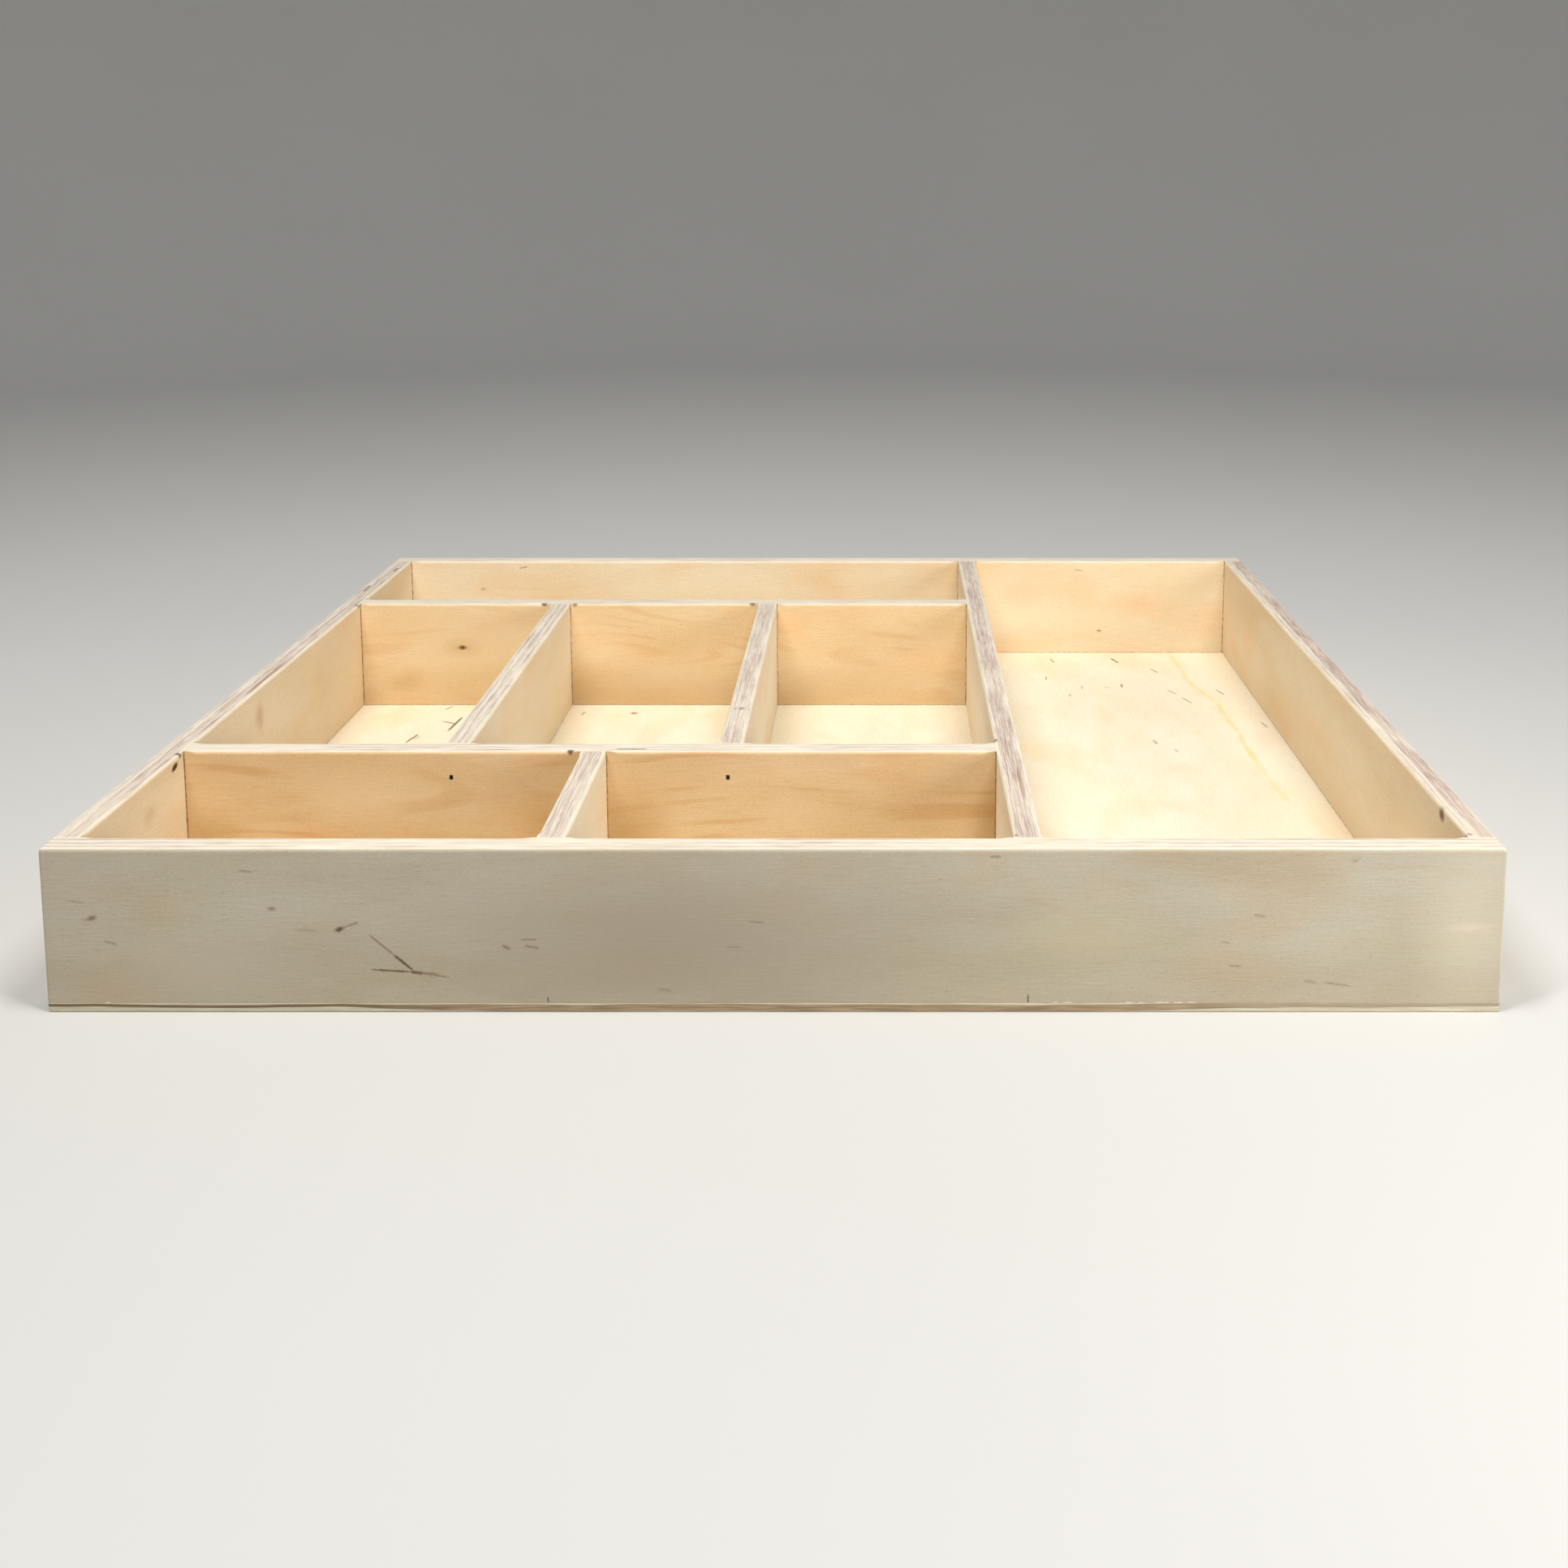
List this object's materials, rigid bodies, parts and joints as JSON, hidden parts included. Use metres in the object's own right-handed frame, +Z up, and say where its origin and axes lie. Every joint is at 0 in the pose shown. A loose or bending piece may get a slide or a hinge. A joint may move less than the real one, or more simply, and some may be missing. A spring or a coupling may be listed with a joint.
{
  "type": "drawer organizer insert",
  "caption": "Shallow open-top plywood tray with a long side compartment and a grid of smaller ones, set into a drawer to sort its contents.",
  "frame": {"origin": "middle of the underside of the bottom panel", "axes": "+X to the right along the front board, +Y from the front board to the back board, +Z up out of the compartments"},
  "size_m": [0.45, 0.4, 0.053],
  "materials": {
    "birch_plywood": "sanded bare seven-ply birch plywood",
    "thin_plywood": "sanded bare three-ply birch plywood",
    "brad_steel": "dull galvanized wire"
  },
  "bodies": {
    "root": {"front_board": "birch_plywood", "back_board": "birch_plywood", "left_side_board": "birch_plywood", "right_side_board": "birch_plywood", "bottom_panel": "thin_plywood", "long_divider": "birch_plywood", "front_cross_divider": "birch_plywood", "rear_cross_divider": "birch_plywood", "front_short_divider": "birch_plywood", "middle_left_divider": "birch_plywood", "middle_right_divider": "birch_plywood", "brads_front_cross_divider": "brad_steel", "brads_front_short_divider": "brad_steel", "brads_rear_cross_divider": "brad_steel", "brads_left_side_board": "brad_steel", "brads_long_divider": "brad_steel", "brads_back_board": "brad_steel", "brads_bottom_panel": "brad_steel"}
  },
  "joints": []
}
